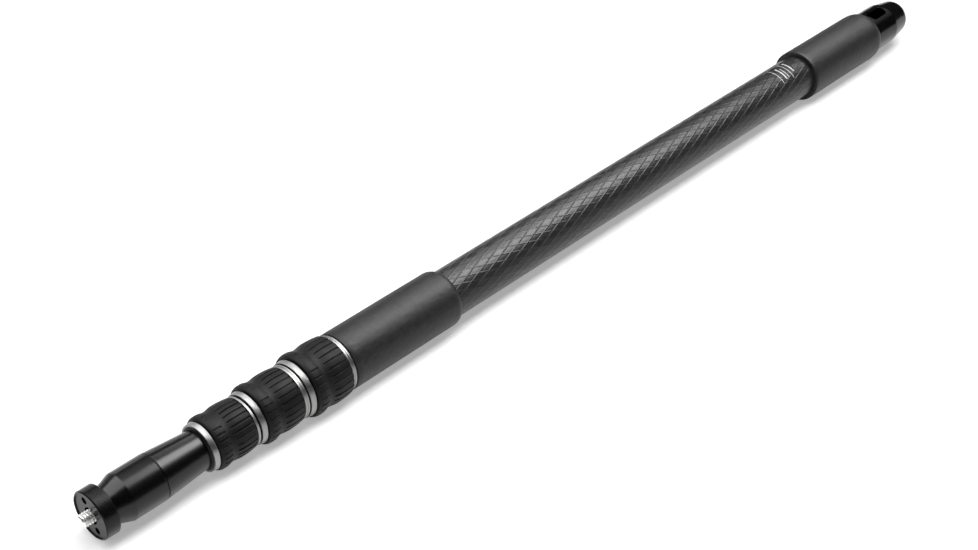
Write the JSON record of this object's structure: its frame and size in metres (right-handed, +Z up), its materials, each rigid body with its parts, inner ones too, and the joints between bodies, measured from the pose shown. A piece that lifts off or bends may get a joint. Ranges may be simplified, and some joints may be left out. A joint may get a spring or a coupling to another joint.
{
  "type": "telescopic boom pole",
  "caption": "Collapsed telescopic carbon pole with twist locks in rubber sleeves, foam grips, a threaded stud tip and a slotted cable cap.",
  "frame": {"origin": "on the surface the pole lies on, under the middle of its length, stud included", "axes": "+X along the pole from the threaded tip to the butt cap, +Z up, +Y to the left of the way from tip to butt"},
  "size_m": [0.6334, 0.0326, 0.0326],
  "materials": {
    "zinc_steel": "bright plated",
    "black_steel": "black oxide",
    "satin_black_aluminium": "satin black anodised",
    "gloss_black_aluminium": "gloss black anodised",
    "satin_aluminium": "satin turned",
    "carbon_fibre": "clear-coated carbon fibre",
    "foam": "closed-cell foam",
    "rubber": "moulded matte rubber",
    "seal_rubber": "black wiper",
    "gloss_black_plastic": "gloss moulded",
    "shim_plastic": "moulded",
    "collet_plastic": "moulded"
  },
  "bodies": {
    "main_section": {"main_tube": "carbon_fibre", "lower_grip": "foam", "upper_grip": "foam", "butt_insert": "satin_aluminium", "butt_cap": "gloss_black_plastic", "thread_base_1": "satin_aluminium", "collet_1": "collet_plastic"},
    "section_2": {"tube_2": "carbon_fibre", "guide_shims_2": "shim_plastic", "thread_base_2": "satin_aluminium", "collet_2": "collet_plastic"},
    "section_3": {"tube_3": "carbon_fibre", "guide_shims_3": "shim_plastic", "thread_base_3": "satin_aluminium", "collet_3": "collet_plastic"},
    "section_4": {"tube_4": "carbon_fibre", "guide_shims_4": "shim_plastic", "tip_ferrule": "gloss_black_aluminium", "tip_adapter": "gloss_black_aluminium", "mount_disc": "satin_black_aluminium", "tip_stud": "zinc_steel", "disc_grub_screw": "black_steel"},
    "lock_1": {"lock_nut_1": "satin_black_aluminium", "collar_ring_1": "satin_aluminium", "rubber_sleeve_1": "rubber", "wiper_ring_1": "seal_rubber"},
    "lock_2": {"lock_nut_2": "satin_black_aluminium", "collar_ring_2": "satin_aluminium", "rubber_sleeve_2": "rubber", "wiper_ring_2": "seal_rubber"},
    "lock_3": {"lock_nut_3": "satin_black_aluminium", "collar_ring_3": "satin_aluminium", "rubber_sleeve_3": "rubber", "wiper_ring_3": "seal_rubber"}
  },
  "joints": [
    {"name": "section_2_slide", "type": "slide", "parent": "main_section", "child": "section_2", "axis": [-1, 0, 0], "range_m": [0, 0.4]},
    {"name": "section_3_slide", "type": "slide", "parent": "section_2", "child": "section_3", "axis": [-1, 0, 0], "range_m": [0, 0.42]},
    {"name": "section_4_slide", "type": "slide", "parent": "section_3", "child": "section_4", "axis": [-1, 0, 0], "range_m": [0, 0.44]},
    {"name": "lock_1_turn", "type": "hinge", "parent": "main_section", "child": "lock_1", "pos_m": [-0.20075, 0, 0.0163], "axis": [-1, 0, 0], "range_deg": [0, 100]},
    {"name": "lock_2_turn", "type": "hinge", "parent": "section_2", "child": "lock_2", "pos_m": [-0.2285, 0, 0.0163], "axis": [-1, 0, 0], "range_deg": [0, 100]},
    {"name": "lock_3_turn", "type": "hinge", "parent": "section_3", "child": "lock_3", "pos_m": [-0.25455, 0, 0.0163], "axis": [-1, 0, 0], "range_deg": [0, 100]}
  ]
}
